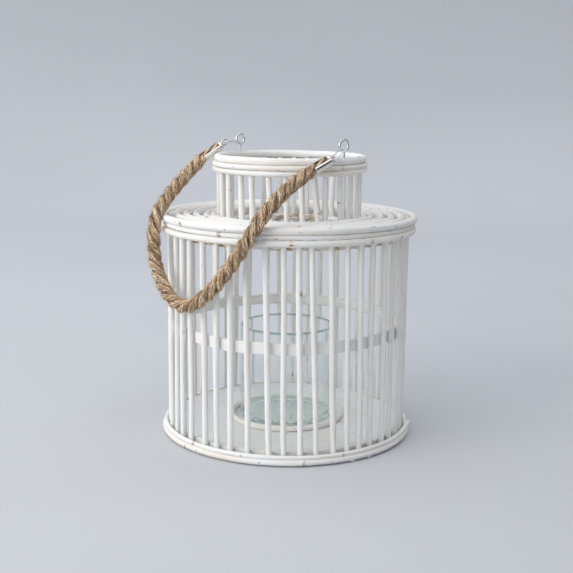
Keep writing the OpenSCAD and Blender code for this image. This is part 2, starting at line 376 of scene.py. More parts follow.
inside = CLAMP_L - 0.003
rope_points = [
    MOUTH_LEFT - inside * clamp_axis["left"],
    MOUTH_LEFT - inside / 2 * clamp_axis["left"],
    *ROUTE,
    MOUTH_RIGHT - inside / 2 * clamp_axis["right"],
    MOUTH_RIGHT - inside * clamp_axis["right"],
]
rope_line = smooth_line(rope_points, ROPE_STEP)
rope_run, rope_heading, rope_side, rope_over = frames_along(rope_line)
rope_length = rope_run[-1]
from_end = np.minimum(rope_run, rope_length - rope_run)
squeeze = END_SQUEEZE + (1 - END_SQUEEZE) * np.clip(
    (from_end - inside - CLAMP_OVER + 0.001) / END_TAPER, 0, 1) ** 0.6


def rope_swell(run, seed):
    """Slow unevenness of hand-laid jute along its length."""
    return 1 + 0.035 * np.sin(run * 260 + seed) + 0.03 * np.sin(run * 611 + 2.1 * seed)


strand_paths = []


def strand(index):
    """One of the rope's three strands, ridged by its yarns."""
    lay = 2 * math.pi * index / 3 - 2 * math.pi * rope_run / ROPE_LAY
    out = np.cos(lay)[:, None] * rope_side + np.sin(lay)[:, None] * rope_over
    line = rope_line + (STRAND_OFFSET * squeeze * rope_swell(rope_run, index))[:, None] * out
    run, heading, _, _ = frames_along(line)
    side = out - heading * np.sum(out * heading, 1)[:, None]
    side /= np.linalg.norm(side, axis=1)[:, None]
    over = np.cross(heading, side)
    sides = 42
    turn = np.linspace(0, 2 * math.pi, sides, endpoint=False)
    yarn_turn = turn[None] + 2 * math.pi * run[:, None] / YARN_LAY
    yarn_turn = yarn_turn + 0.5 * np.sin(run[:, None] * 90 + index)
    ridge = np.abs(np.sin(YARNS * yarn_turn / 2)) ** 0.7
    lumps = 0.04 * np.sin(run[:, None] * 830 + 5 * turn[None] + index) + 0.03 * np.sin(
        run[:, None] * 1570 - 3 * turn[None] + 2 * index)
    swell = squeeze * rope_swell(rope_run, index + 5)
    radii = STRAND_R * swell[:, None] * (0.88 + 0.14 * ridge + lumps)
    across = ring_of(turn, side, over)
    points = line[:, None] + radii[..., None] * across
    away = np.linalg.norm(points - rope_line[:, None], axis=2)
    away = away / (STRAND_OFFSET + STRAND_R) / squeeze[:, None]
    # painted crease shade: the colour mark rises where the strand turns in towards the rope's middle and
    # in the grooves between its yarns, where shade falls
    painted_crease_shade = np.clip((0.95 - away) / 0.30, 0, 1) * 0.97 + 0.45 * (1 - ridge) ** 2
    strand_paths.append((line, side, over))
    grain = np.stack([
        np.broadcast_to(run[:, None] + index, radii.shape),
        STRAND_R * np.cos(yarn_turn),
        STRAND_R * np.sin(yarn_turn) + index,
    ], -1)
    faces = capped_faces(len(line), sides)
    return points.reshape(-1, 3), faces, grain.reshape(-1, 3), np.clip(painted_crease_shade, 0, 1).ravel()


def slivers(points):
    """Points, faces and grain of many small tubes, from points by tube, step and side."""
    count, steps, sides, _ = points.shape
    one = np.array(grid_faces(steps, sides))
    faces = (one[None] + (np.arange(count) * steps * sides)[:, None, None]).reshape(-1, 4).tolist()
    grain = np.zeros(points.shape)
    for k in (0, 1):
        grain[..., k] = rng.uniform(0, 3, count)[:, None, None]
    return points.reshape(-1, 3), faces, grain.reshape(-1, 3)


def hairs(count, shortest, longest, thickness, stand, stray=0.35):
    """Loose fibres that spring from the rope's surface, each a thin curved sliver."""
    steps, sides = 5, 3
    at = rng.integers(len(rope_line) // 16, len(rope_line) * 15 // 16, count)
    turn = rng.uniform(0, 2 * math.pi, count)
    out = np.cos(turn)[:, None] * rope_side[at] + np.sin(turn)[:, None] * rope_over[at]
    around = np.cross(rope_heading[at], out)
    root = rope_line[at] + (ROPE_D / 2 - 0.0007) * squeeze[at][:, None] * out
    lean = rng.normal(0, 1, (count, 3))
    way = (rng.choice((-1, 1), count) * rng.uniform(0.4, 1.1, count))[:, None] * rope_heading[at]
    way = way + stand * rng.uniform(0.1, 1.0, count)[:, None] * out + stray * lean[:, :1] * around
    way /= np.linalg.norm(way, axis=1)[:, None]
    long = rng.uniform(shortest, longest, count)[:, None, None]
    t = np.linspace(0, 1, steps)[None, :, None]
    curl = 0.45 * lean[:, None] * t**2
    line = root[:, None] + long * (way[:, None] * t + curl)
    r = thickness * (1 - 0.75 * t) * rng.uniform(0.7, 1.3, count)[:, None, None]
    angle = 2 * math.pi * np.arange(sides) / sides
    flat_a = np.cross(way, around + 0.01)
    flat_a /= np.linalg.norm(flat_a, axis=1)[:, None]
    flat_b = np.cross(way, flat_a)
    ring = ring_of(angle, flat_a, flat_b)
    points = line[:, :, None] + r[..., None] * ring[:, None]
    return *slivers(points), np.zeros(count * steps * sides)


def bedded_fibres(count, shortest, longest, thickness):
    """Coarse fibres that lie along the yarns, bedded in the rope's skin with their ends lifting."""
    steps, sides = 7, 4
    which = rng.integers(0, 3, count)[:, None]
    t = np.linspace(0, 1, steps)[None]
    long = rng.uniform(shortest, longest, count)[:, None]
    start = rng.uniform(0.03, 0.93, count)[:, None] * rope_length
    step = np.clip((start + long * t) / rope_length, 0, 1) * (len(rope_line) - 1)
    before = np.minimum(step.astype(int), len(rope_line) - 2)
    part = (step - before)[..., None]
    paths = [np.stack([path[k] for path in strand_paths]) for k in range(3)]
    middle, out, over = (p[which, before] * (1 - part) + p[which, before + 1] * part for p in paths)
    turn = (rng.normal(0, 0.55, count)[:, None] + rng.normal(0, 0.75, count)[:, None] * (t - 0.5)
            + 0.12 * np.sin(9 * t + rng.uniform(0, 6, count)[:, None]))
    lift = 0.0012 * rng.random(count)[:, None] ** 2 * np.abs(2 * t - 1) ** 3
    tight = squeeze[before]
    away = np.cos(turn)[..., None] * out + np.sin(turn)[..., None] * over
    line = middle + ((STRAND_R + BEDDED) * tight + lift)[..., None] * away
    heading = np.gradient(line, axis=1)
    heading /= np.linalg.norm(heading, axis=2)[..., None]
    flat = np.cross(heading, away)
    thin = thickness * rng.uniform(0.5, 1.4, count)[:, None] * (1 - 0.7 * np.abs(2 * t - 1) ** 2)
    angle = 2 * math.pi * np.arange(sides) / sides
    ring = 1.5 * np.cos(angle)[None, None, :, None] * flat[:, :, None] + 0.8 * np.sin(angle)[
        None, None, :, None] * away[:, :, None]
    points = line[:, :, None] + thin[..., None, None] * ring
    skin = slivers(points)
    dark = np.where(rng.random(count) < 0.22, 0.7, 0.0)
    return *skin, np.repeat(dark, steps * sides)


def tuft(run, turn, count, long):
    """A frayed tuft: fibres that spring from one place on the rope and fan out."""
    at = int(run / rope_length * (len(rope_line) - 1))
    out = math.cos(turn) * rope_side[at] + math.sin(turn) * rope_over[at]
    around = np.cross(rope_heading[at], out)
    made = []
    for _ in range(count):
        way = out * rng.uniform(0.5, 1.0) + rope_heading[at] * rng.normal(0, 0.7)
        way += around * rng.normal(0, 0.35)
        way /= np.linalg.norm(way)
        t = np.linspace(0, 1, 7)[:, None]
        bend = rng.normal(0, 0.3, 3)
        root = rope_line[at] + (ROPE_D / 2 - 0.0008) * out + rope_heading[at] * rng.normal(0, 0.0012)
        line = root + rng.uniform(0.4, 1.0) * long * (way * t + bend * t**2)
        made.append(tube(line, 0.00010 * (1.1 - t[:, 0]), 3, grain_from=rng.uniform(0, 3), ends=1))
    return made


rope = piece("rope", [strand(k) for k in range(3)], rope_material, "handle", ["handle_rope"])
hair_count = 3200
loose = [hairs(hair_count, 0.002, 0.006, 0.00005, 0.45),
         hairs(hair_count // 8, 0.004, 0.009, 0.00006, 0.9),
         hairs(hair_count // 3, 0.002, 0.005, 0.00013, 0.15, 0.8),
         bedded_fibres(hair_count, 0.006, 0.018, 0.00022)]
TUFT_FIBRES = 9
TUFT_L = 0.007
TUFTS = ((0.29, 2.6), (0.36, 3.4), (0.43, 0.4), (0.47, 2.0), (0.56, 1.0), (0.64, 4.4), (0.72, 0.2),
         (0.88, 5.2))
for part, turn in TUFTS:
    loose += tuft(part * rope_length, turn, TUFT_FIBRES, TUFT_L)
piece("rope fibres", loose, fibre_material, "handle")

# --- Rope end clamps ----------------------------------------------------------------------
# A strip of plated sheet folded round each end of the rope, open along a slot where the jute
# shows, with a wire staple at its closed end that the link runs through.
CLAMP_R = 0.0056
CLAMP_SHEET = 0.0006
CLAMP_SLOT = math.radians(42)
STAPLE_R = 0.0030
STAPLE_WIRE = 0.0009


def plated(name, colour, roughness):
    """Bright plating with faint smears and scuffs."""
    material, nodes, links, shader = new_material(name, Metallic=1.0)
    place = nodes.new("ShaderNodeTexCoord").outputs["Object"]
    smear = stretched_noise(nodes, links, place, (260, 260, 420), 4)
    tone = ramp(nodes, links, smear, [(0.3, [c * 0.82 for c in colour]), (0.7, colour)])
    gloss = ramp(nodes, links, smear, [(0.35, (roughness * 0.7,) * 3), (0.75, (roughness * 1.8,) * 3)])
    links.new(tone, shader.inputs["Base Color"])
    links.new(gloss, shader.inputs["Roughness"])
    bump(nodes, links, smear, shader, 0.0002, 0.15)
    return material


clamp_material = plated("plated sheet", (0.90, 0.86, 0.80), 0.16)
wire_material = plated("plated wire", (0.84, 0.86, 0.88), 0.10)


def clamp(which, mouth):
    """The folded strip: a sleeve with a slot along the side that faces out and up."""
    axis = np.array(clamp_axis[which])
    facing = np.array(as_seen(0, -0.50, 1.0))
    slot = facing - axis * (facing @ axis)
    slot /= np.linalg.norm(slot)
    across = np.cross(axis, slot)
    rows = np.linspace(0, 1, 22)
    turn = np.linspace(CLAMP_SLOT, 2 * math.pi - CLAMP_SLOT, 40)
    points, faces = [], []
    for skin, radius in enumerate((CLAMP_R, CLAMP_R - CLAMP_SHEET)):
        for t in rows:
            flare = 1 + 0.05 * max(0, (t - 0.9) / 0.1) - 0.30 * max(0, (0.08 - t) / 0.08)
            for angle in turn:
                fold = 1 - 0.16 * math.exp(-(((angle - CLAMP_SLOT) / 0.20) ** 2)) - 0.16 * math.exp(
                    -(((2 * math.pi - CLAMP_SLOT - angle) / 0.20) ** 2))
                out = math.cos(angle) * slot + math.sin(angle) * across
                centre = np.array(mouth) + axis * (CLAMP_OVER - (CLAMP_L + CLAMP_OVER) * (1 - t))
                points.append(centre + radius * flare * fold * out)
    n, m = len(rows), len(turn)
    inner = n * m
    for i in range(n - 1):
        for k in range(m - 1):
            a = i * m + k
            faces.append([a, a + 1, a + m + 1, a + m])
            faces.append([inner + a, inner + a + m, inner + a + m + 1, inner + a + 1])
        a = i * m
        faces.append([a, a + m, inner + a + m, inner + a])
        b = i * m + m - 1
        faces.append([b, inner + b, inner + b + m, b + m])
    for k in range(m - 1):
        faces.append([k, inner + k, inner + k + 1, k + 1])
        a = (n - 1) * m + k
        faces.append([a, a + 1, inner + a + 1, inner + a])
    points = np.array(points)
    return points, faces, points.copy(), np.zeros(len(points))


def staple(which, mouth):
    """A small ring of wire round the link's end, and its tail into the clamp."""
    axis = np.array(clamp_axis[which])
    cap = np.array(mouth) - axis * CLAMP_L
    tip = np.array(link_tips[which])
    pull = (cap - tip) / np.linalg.norm(cap - tip)
    centre = tip + 0.0009 * pull
    turn = np.linspace(0, 2 * math.pi, 40, endpoint=False)
    ring = centre + STAPLE_R * (np.cos(turn)[:, None] * pull
                                + np.sin(turn)[:, None] * np.cross(pull, np.array((1.0, 0, 0))))
    tail = np.linspace(centre + STAPLE_R * pull, cap + 0.002 * axis, 8)
    plug_r = CLAMP_R * 0.74
    plug = np.array([cap + axis * d for d in (0.0001, 0.0006, 0.0016, 0.0028)])
    return [tube(ring, STAPLE_WIRE, 12, closed=True), tube(tail, 0.001, 12),
            tube(plug, [plug_r * 0.7, plug_r * 0.95, plug_r, plug_r], 24, ends=1)]


for which, mouth in (("left", MOUTH_LEFT), ("right", MOUTH_RIGHT)):
    piece(f"{which} rope end clamp", [clamp(which, mouth), *staple(which, mouth)],
                        clamp_material, "handle", [f"ferrule_{which}"])

# --- Wire links ---------------------------------------------------------------------------
# A length of plated wire bent into a long loop. Its cut end pokes out beside the screw eye
# that it hooks through, and its far bend holds the rope's clamp.
LINK_WIRE = 0.00085
LINK_NEAR = 0.0029
LINK_FAR = 0.00325

for which in LINKS:
    bend = [(LINK_NEAR * math.sin(a), -LINK_NEAR * (1 - math.cos(a)), 0)
            for a in np.radians([-62, -40, -20, 0, 20, 45, 70, 90])]
    far = [(LINK_FAR * math.cos(a), -(LINK_L - LINK_FAR) - LINK_FAR * math.sin(a), 0)
           for a in np.radians([0, 30, 60, 90, 120, 150, 180])]
    shape = [(-0.0052, 0.0012, 0.0004), (-0.0040, -0.0002, 0.0002), *bend,
             (0.0030, -0.008, 0), (0.0031, -0.013, 0), *far,
             (-0.0031, -0.013, 0), (-0.0030, -0.008, 0), (-0.0028, -0.0050, -0.0003)]
    carried = [link_matrix(which) @ Vector(q) for q in shape]
    wire = smooth_line(carried, 0.0004)
    piece(f"{which} wire link", [tube(wire, LINK_WIRE, 14)], wire_material,
                            "handle", [f"link_{which}"])

[tuple(q) for q in [*rope_line[::4].tolist(), rope_line[-1].tolist()]]

# --- Screw eyes ---------------------------------------------------------------------------
# Two bright steel eyes, each bent from one wire and screwed down into the top hoop of the
# neck. The ring doesn't quite close on its own shank.
EYE_RING = 0.00515
EYE_WIRE = 0.00122
EYE_WIRE_PLAIN = 0.001
EYE_TURN = {"left": 0.0, "right": math.radians(-8)}

eye_boxes = {which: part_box(f"screw_eye_{which}") for which in LINKS}
for which, (lowest, highest) in eye_boxes.items():
    middle_z = highest.z - EYE_RING - EYE_WIRE_PLAIN
    x = (lowest.x + highest.x) / 2
    turned_x, turned_y = -math.sin(EYE_TURN[which]), math.cos(EYE_TURN[which])
    ring = [(x + turned_x * EYE_RING * math.sin(a), turned_y * EYE_RING * math.sin(a),
             middle_z - EYE_RING * math.cos(a)) for a in np.radians(np.arange(16, 361, 8))]
    shank = [(x, 0, lowest.z), (x, 0, lowest.z + 0.006), (x, 0.0001, middle_z - EYE_RING - 0.0016)]
    bent = smooth_line([*shank, *ring[::-1]], 0.0005)
    collar_z = middle_z - EYE_RING - np.linspace(0.0022, 0.0012, 4)
    collar = np.array([(x, 0, z) for z in collar_z])
    piece(f"{which} screw eye", [tube(bent, EYE_WIRE, 16), tube(collar, 0.00145, 20)], wire_material,
          "lantern", [f"screw_eye_{which}"])

# --- Base board ---------------------------------------------------------------------------
# A round board of thin ply under the lantern, brushed with the same white paint as the cane,
# so its grain shows as faint lines.


def paint_group():
    """White paint on cane or ply: streaks along the grain, cream patches, bare wood at the marks."""
    group, nodes, links, given, result = node_group(
        "worn white paint", {"Grain": "Vector", "Mark": "Float", "Wear": "Float", "Warmth": "Float"},
        {"Color": "Color", "Roughness": "Float", "Height": "Float"})
    grain = given.outputs["Grain"]
    streak = stretched_noise(nodes, links, grain, (28, 1500, 1500), 3)
    fine = stretched_noise(nodes, links, grain, (150, 700, 700), 4, 0.6)
    patch = stretched_noise(nodes, links, grain, (14, 60, 60), 2)
    spot = stretched_noise(nodes, links, grain, (75, 210, 210), 3, 0.7)
    white = ramp(nodes, links, streak, [(0.30, (0.80, 0.78, 0.745)), (0.50, (0.905, 0.90, 0.885))])
    cream = combine(nodes, links, "MULTIPLY", white, (0.95, 0.885, 0.80, 1), ramp(
        nodes, links, patch, [(0.44, (0, 0, 0)), (0.72, (1, 1, 1))]))
    warm = combine(nodes, links, "MIX", white, cream, given.outputs["Warmth"])
    wear = reckon(nodes, links, "MULTIPLY_ADD", given.outputs["Wear"], 0.22, spot)
    marked = reckon(nodes, links, "MULTIPLY_ADD", given.outputs["Mark"], 0.20, wear)
    bare_mask = ramp(nodes, links, marked, [(0.70, (0, 0, 0)), (0.80, (1, 1, 1))])
    bare = ramp(nodes, links, fine, [(0.3, (0.28, 0.19, 0.12)), (0.6, (0.56, 0.43, 0.30))])
    colour = combine(nodes, links, "MIX", warm, bare, bare_mask)
    height = reckon(nodes, links, "MULTIPLY_ADD", streak, 0.6, fine)
    rough = nodes.new("ShaderNodeMapRange")
    links.new(fine, rough.inputs["Value"])
    for socket, value in (("From Min", 0.3), ("From Max", 0.7), ("To Min", 0.48), ("To Max", 0.68)):
        rough.inputs[socket].default_value = value
    links.new(colour, result.inputs["Color"])
    links.new(height, result.inputs["Height"])
    links.new(rough.outputs["Result"], result.inputs["Roughness"])
    return group


paint = paint_group()


def painted(name, wear, warmth, bump_depth=0.00025, grain=None):
    """A painted material. Its grain follows the cane, or the object's own axes scaled by grain."""
    material, nodes, links, shader = new_material(name, Specular_IOR_Level=0.25)
    coat = nodes.new("ShaderNodeGroup")
    coat.node_tree = paint
    if grain is None:
        links.new(attribute(nodes, "grain").outputs["Vector"], coat.inputs["Grain"])
        links.new(attribute(nodes, "mark").outputs["Fac"], coat.inputs["Mark"])
    else:
        place = nodes.new("ShaderNodeTexCoord").outputs["Object"]
        scale = nodes.new("ShaderNodeMapping")
        scale.inputs["Scale"].default_value = grain
        links.new(place, scale.inputs["Vector"])
        links.new(scale.outputs["Vector"], coat.inputs["Grain"])
    coat.inputs["Wear"].default_value = wear
    coat.inputs["Warmth"].default_value = warmth
    links.new(coat.outputs["Color"], shader.inputs["Base Color"])
    links.new(coat.outputs["Roughness"], shader.inputs["Roughness"])
    bump(nodes, links, coat.outputs["Height"], shader, bump_depth, 0.8)
    return material




def dress(node, material):
    """Gives a node of the frame its material."""
    materials = frame["nodes"][node].data.materials
    materials.clear()
    materials.append(material)


dress("base_board", painted("white painted ply", 0.0, 0.2, 0.0003, grain=(0.35, 0.35, 0.35)))

# --- Hoops round the base -----------------------------------------------------------------
# Two canes bent round the feet of the uprights and nailed through them to the board's edge.
# Each is one length of cane whose cut ends meet, so a dark slit shows where they butt. One end
# of the upper hoop has sprung off its nail, and two splinters hang under the lower one.
cane_material = painted("white painted cane", 0.0, 0.55)
hoop_material = painted("white painted hoop cane", 0.10, 0.85)
KNOT_EVERY = 0.21
LOOSE_END = 0.0035
LOOSE_TURN = math.radians(11)
SPLINTER_L = 0.005
SPLINTER_DROP = 0.0012


def knots_on(length, seed):
    """Distances along a cane at which its growth joints lie."""
    first = (seed * 0.137) % KNOT_EVERY
    return np.arange(first, length, KNOT_EVERY * (0.9 + 0.2 * ((seed * 0.317) % 1)))


def hoop_size(node):
    """Centre radius, tube radius and middle height of a hoop of the frame."""
    lowest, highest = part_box(node)
    r = (highest.z - lowest.z) / 2
    return highest.x - r, r, (highest.z + lowest.z) / 2


def bent_cane(centre_r, r, z, seed, butt, wander=0.00035, spots=(), spring=0.0):
    """A hoop of real cane, never quite round or level, its ends butted, with worn spots at angles.

    Where the nail has let go, the cane's last stretch springs out and up.
    """
    gap = 0.00015 / centre_r
    start = butt + gap
    turn = start + np.linspace(0, 2 * math.pi - 2 * gap, 360)
    phase = rng.uniform(0, 2 * math.pi, 8)
    out = sum(np.sin(k * turn + phase[k]) / (1 + 0.4 * k) for k in (2, 3, 5, 7))
    lift = sum(np.sin(k * turn + phase[k]) / k for k in (1, 4, 6))
    radius = centre_r + wander * out
    sprung = spring * np.clip((turn - turn[-1]) / LOOSE_TURN + 1, 0, 1) ** 2
    radius = radius + sprung
    line = np.stack([radius * np.cos(turn), radius * np.sin(turn), z + 0.7 * wander * lift + sprung], 1)
    thick = r * (1 + 0.035 * np.sin(5 * turn + phase[0]) + 0.02 * np.sin(17 * turn + phase[1]))
    worn = [centre_r * ((spot - start) % (2 * math.pi)) for spot in spots]
    return tube(line, thick, 18, grain_from=seed * 0.61, ends=0.95,
                knots=[*knots_on(2 * math.pi * centre_r, seed), *worn])


def facing_camera(degrees):
    """An angle round the lantern, counted from the camera's side towards its right."""
    return math.radians(degrees) - math.pi / 2 + CAMERA_TURN


def hoop_piece(name, node, seed, butt, wander=0.00035, spots=(), aside=0.0, spring=0.0,
               material=hoop_material):
    """One hoop that replaces its node; butt and spots are angles as facing_camera counts them."""
    centre_r, r, z = hoop_size(node)
    worn = [facing_camera(spot) for spot in spots]
    points, *rest = bent_cane(centre_r, r, z, seed, facing_camera(butt), wander, worn, spring)
    points = points + np.array(as_seen(aside, 0, 0))
    piece(name, [(points, *rest)], material, "lantern", [node])


hoop_piece("lower base hoop", "base_hoop_lower", 1, 150,
           spots=(-64, -38, 8, 31, 66))
hoop_piece("upper base hoop", "base_hoop_upper", 2, 80,
           spots=(-58, -20, 26, 40), spring=LOOSE_END)
base_r, base_tube, base_z = hoop_size("base_hoop_lower")
splinters = []
for spot, seed in ((29, 1), (40.5, 2)):
    angle = facing_camera(spot)
    out = np.array((math.cos(angle), math.sin(angle), 0))
    along = np.array((-math.sin(angle), math.cos(angle), 0))
    root = (base_r + 0.6 * base_tube) * out + np.array((0, 0, base_z - 0.7 * base_tube))
    tip = root + SPLINTER_L * along * (1 if seed == 1 else -1) + SPLINTER_DROP * out
    tip = tip - np.array((0, 0, SPLINTER_DROP))
    taper = np.linspace(0.0009, 0.0004, 6)
    splinters.append(tube(np.linspace(root, tip, 6), taper, 7, grain_from=seed))
piece("splinters under the base hoop", splinters, cane_material, "lantern")

# --- Seat ring ----------------------------------------------------------------------------
# One more cane, bent to a small ring and nailed to the middle of the board, keeps the glass
# from sliding about.
hoop_piece("glass seat ring", "seat_ring", 3, 135)

# --- Uprights -----------------------------------------------------------------------------
# The drum's wall: straight canes nailed at the foot and under the rim. They were spaced by
# eye, so the gaps vary, and each is a shade thicker, thinner or more bowed than the next.
UPRIGHTS = 46
UPRIGHT_RING = 0.116
UPRIGHT_R = 0.00275
UPRIGHT_TURN = math.radians(2.7)
# the front canes, from the left: how far each stands from its even place, and how far its foot
# is set round from its top, both in degrees
FIRST_OFF = 31
SET_OFF = (0.5, 0.3, -0.4, 1.1, 1.0, 0.4, 0.6, 2.2, 1.7, 1.0, -0.4, 0.4, -0.1, -0.9, -1.7, -1.1, -1.2,
           -0.5)
SET_LEAN = (1.5, 0.3, 0.7, 1.8, 0.7, 0.8, 1.6, 3.0, 1.5, 2.2, 3.7, 3.6, 2.5, 1.5, 1.2, 1.5, 0.2,
            -2.0)


def upright(angle, ring_r, r, z_low, z_high, seed, lean):
    """One cane between two heights, slightly bowed, its foot set round from its top by lean."""
    t = np.linspace(0, 1, 46)
    bow = 0.0006 * math.sin(seed * 2.3) * np.sin(math.pi * t)
    sway = angle + lean * (0.5 - t)
    sway = sway + 0.0005 * math.sin(seed * 1.7) * np.sin(2 * math.pi * t) / ring_r
    line = np.stack([(ring_r + bow) * np.cos(sway), (ring_r + bow) * np.sin(sway),
                     z_low + (z_high - z_low) * t], 1)
    taper = r * (1 + 0.05 * math.sin(seed * 3.1)) * (1 + 0.03 * np.sin(7 * t + seed))
    return tube(line, taper, 16, grain_from=seed * 0.37, knots=knots_on(z_high - z_low, seed))


def by_eye(i, count, first, measured, spread):
    """A setting of a cane in radians: as measured, or else at random within a spread."""
    k = (i - first) % count
    return math.radians(measured[k] if k < len(measured) else rng.uniform(-spread, spread))


low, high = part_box("body_canes")
canes = []
for i in range(UPRIGHTS):
    angle = (i + 0.5) * 2 * math.pi / UPRIGHTS + UPRIGHT_TURN
    lean = by_eye(i, UPRIGHTS, FIRST_OFF, SET_LEAN, 2.0)
    angle += by_eye(i, UPRIGHTS, FIRST_OFF, SET_OFF, 1.3)
    canes.append(upright(angle, UPRIGHT_RING, UPRIGHT_R, low.z, high.z, i + 1, lean))
piece("uprights", canes, cane_material, "lantern", ["body_canes"])

# --- Middle band --------------------------------------------------------------------------
# A flat splint that runs round inside the uprights at half height and is pinned to them, to
# keep them from bowing.
band_low, band_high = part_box("mid_band")
band_out = band_high.x
BAND_T = 0.002


def band():
    """The splint as a closed ring with softened edges."""
    turn = np.linspace(0, 2 * math.pi, 320, endpoint=False)
    half = (band_high.z - band_low.z) / 2
    middle = (band_high.z + band_low.z) / 2
    edge = 0.0005
    outline = [(0, -half), (-BAND_T + edge, -half), (-BAND_T, -half + edge), (-BAND_T, 0),
               (-BAND_T, half - edge), (-BAND_T + edge, half), (-edge, half), (0, half - edge),
               (0, 0), (0, -half + edge)]
    points, grain = [], []
    for a in turn:
        rise = 0.0006 * math.sin(3 * a + 1) + 0.0003 * math.sin(11 * a)
        pull = 0.0003 * math.sin(22 * a)
        for out, up in outline:
            r = band_out - 0.0002 + out + pull
            height = middle + up * (1 + 0.03 * math.sin(9 * a)) + rise
            points.append((r * math.cos(a), r * math.sin(a), height))
            grain.append((band_out * a, up, out + 0.5))
    faces = [face[::-1] for face in grid_faces(len(turn), len(outline), closed=True)]
    return np.array(points), faces, np.array(grain), np.zeros(len(points))


piece("middle band", [band()], cane_material, "lantern", ["mid_band"])

# --- Rim ----------------------------------------------------------------------------------
# Three canes stacked outside the tops of the uprights: a thick one on top, a thin one and a
# middling one, and inside them an unpainted hoop that everything is nailed to.
hoop_piece("top rim hoop", "rim_hoop_top", 4, 150, 0.0005, spots=(-52, 17, 24, 36, 62))
hoop_piece("middle rim hoop", "rim_hoop_middle", 5, 165, 0.0004,
           spots=(-30, -5, 9, 48))
hoop_piece("bottom rim hoop", "rim_hoop_bottom", 6, 200, 0.0005,
           spots=(-44, 1, 33, 57))

bare_material = painted("half painted cane", 1.0, 1.0, 0.0004)
hoop_piece("inner frame hoop", "frame_hoop", 7, 140, material=bare_material)

# --- Shoulder -----------------------------------------------------------------------------
# Rings of cane laid flat one inside the next, with gaps between, on short spokes that run
# from the rim's frame hoop to the foot of the neck.
for index, butt in enumerate((-130, 162, 110, -175)):
    hoop_piece(f"shoulder ring {index + 1}", f"shoulder_hoop_{index + 1}", 8 + index, butt,
               0.0006)
hoop_piece("neck foot hoop", "neck_foot_hoop", 12, 100,
           spots=(-78, -62, -50, -40, -12, 16, 27, 34, 42, 62))

SPOKES = 8
SPOKE_R = 0.00275
NECK_OUT = 0.07095
spoke_low, spoke_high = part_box("shoulder_spokes")
spoke_z = (spoke_low.z + spoke_high.z) / 2
spoke_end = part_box("base_board")[1].x
spokes = []
for i in range(SPOKES):
    angle = (i + 0.5) * 2 * math.pi / SPOKES
    reach = np.linspace(NECK_OUT, spoke_end, 24)
    line = np.stack([reach * math.cos(angle), reach * math.sin(angle), np.full(24, spoke_z)], 1)
    spokes.append(tube(line, SPOKE_R, 14, grain_from=20 + i, knots=knots_on(0.04, i + 3)))
piece("shoulder spokes", spokes, cane_material, "lantern", ["shoulder_spokes"])

# --- Neck ---------------------------------------------------------------------------------
# A second, smaller drum of canes. Two hoops hold it inside, a thick cane caps its top and two
# thin ones are bound round just below.
NECK_CANES = 28
NECK_RING = 0.0681
NECK_TURN = math.radians(-5)
NECK_ASIDE = 0.0009
# from the left: twelve canes in front, then seven behind, from the right
NECK_FIRST_OFF = 19
NECK_SET_OFF = (0.0, 1.1, 2.8, 0.9, 3.1, 3.2, 2.3, 1.0, -3.9, -1.7, -2.6, 0.6, 0.0, 0.0, 3.2, 2.8, 2.6,
                -2.9, 2.2)
NECK_SET_LEAN = (2.5, 2.5, 3.0, 1.0, 3.0, 3.5, 2.5, 5.0, 0.5, -0.5, -1.5, 2.0, 0.0, 0.0, 0.0, 0.5, 0.5,
                 -1.0, 1.0)
low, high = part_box("neck_canes")
canes = []
for i in range(NECK_CANES):
    angle = (i + 0.5) * 2 * math.pi / NECK_CANES + NECK_TURN
    lean = by_eye(i, NECK_CANES, NECK_FIRST_OFF, NECK_SET_LEAN, 3.0)
    angle += by_eye(i, NECK_CANES, NECK_FIRST_OFF, NECK_SET_OFF, 2.0)
    canes.append(upright(angle, NECK_RING, UPRIGHT_R, low.z, high.z, i + 60, lean))
piece("neck canes", canes, cane_material, "lantern", ["neck_canes"])

inner_low, inner_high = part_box("neck_inner_hoops")
LOWER_R = 0.003
UPPER_R = 0.0025
inner_out = inner_high.x
piece("neck inner hoops", [
    bent_cane(inner_out - LOWER_R, LOWER_R, inner_low.z + LOWER_R, 13, facing_camera(170)),
    bent_cane(inner_out - UPPER_R, UPPER_R, inner_high.z - UPPER_R, 14, facing_camera(200)),
], bare_material, "lantern", ["neck_inner_hoops"])
hoop_piece("neck rim hoop", "neck_rim_hoop", 15, 118, 0.0003,
           spots=(28, 64), aside=NECK_ASIDE)
hoop_piece("upper neck hoop", "neck_hoop_upper", 16, -120, 0.0003,
           spots=(-8, 22, 40), aside=NECK_ASIDE)
hoop_piece("lower neck hoop", "neck_hoop_lower", 17, 138, 0.0004,
           aside=NECK_ASIDE)

# --- Brads --------------------------------------------------------------------------------
# Thin steel brads hold hoops to canes. Their heads sit just proud of the paint, and some have
# been dabbed over with it.


def brad_steel():
    material, nodes, links, shader = new_material("brad heads", Metallic=0.7)
    place = nodes.new("ShaderNodeTexCoord").outputs["Object"]
    dab = stretched_noise(nodes, links, place, (90, 90, 90), 2)
    links.new(ramp(nodes, links, dab, [(0.42, (0.23, 0.20, 0.17)), (0.55, (0.62, 0.60, 0.57))]),
              shader.inputs["Base Color"])
    links.new(ramp(nodes, links, dab, [(0.4, (0.35,) * 3), (0.6, (0.6,) * 3)]), shader.inputs["Roughness"])
    return material


brad_material = brad_steel()
for node in ("rim_brads", "base_brads", "neck_brads", "shoulder_brads"):
    dress(node, brad_material)

# --- Candle glass -------------------------------------------------------------------------
# A plain clear tumbler, thick in the foot, that stands loose on the board inside the seat
# ring. Its pressed glass is faintly green where you look along it.
GLASS_WALL = 0.0026
GLASS_FLOOR = 0.005
LIP_TINT = 0.0025
TRAPPED_AFTER = 3.5
glass_low, glass_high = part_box("glass_cylinder")
glass_r = glass_high.x


